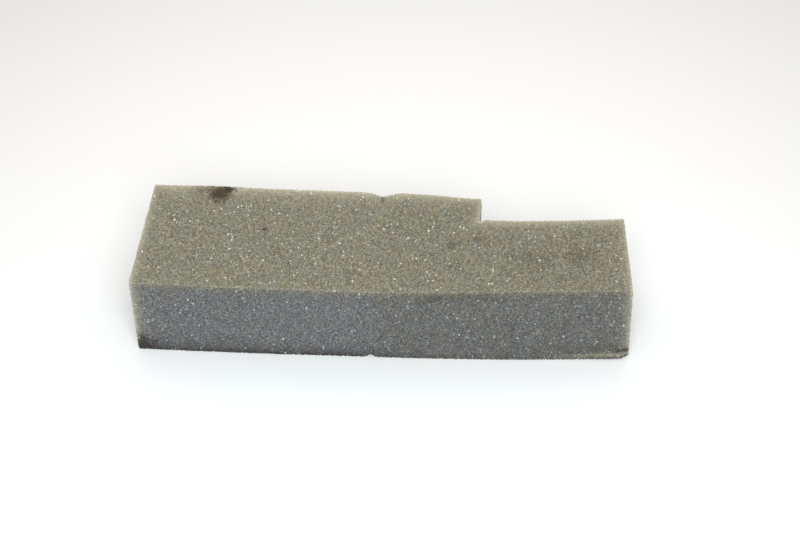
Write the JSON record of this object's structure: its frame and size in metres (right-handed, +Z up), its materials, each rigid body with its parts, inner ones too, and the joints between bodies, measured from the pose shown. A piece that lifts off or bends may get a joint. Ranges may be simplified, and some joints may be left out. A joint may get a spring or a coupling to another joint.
{
  "type": "air filter housing foam insert",
  "caption": "Straight block of open-cell foam with a rectangular notch cut from one rear corner, the soft insert that sits inside a small engine's air filter housing.",
  "frame": {"origin": "middle of the underside's bounding rectangle", "axes": "+X along the block towards the notched end, +Y towards the notched long side, +Z up through the sheet's thickness"},
  "size_m": [0.14, 0.044, 0.0254],
  "materials": {
    "polyurethane_foam": "matte"
  },
  "bodies": {
    "root": {"foam_block": "polyurethane_foam"}
  },
  "joints": []
}
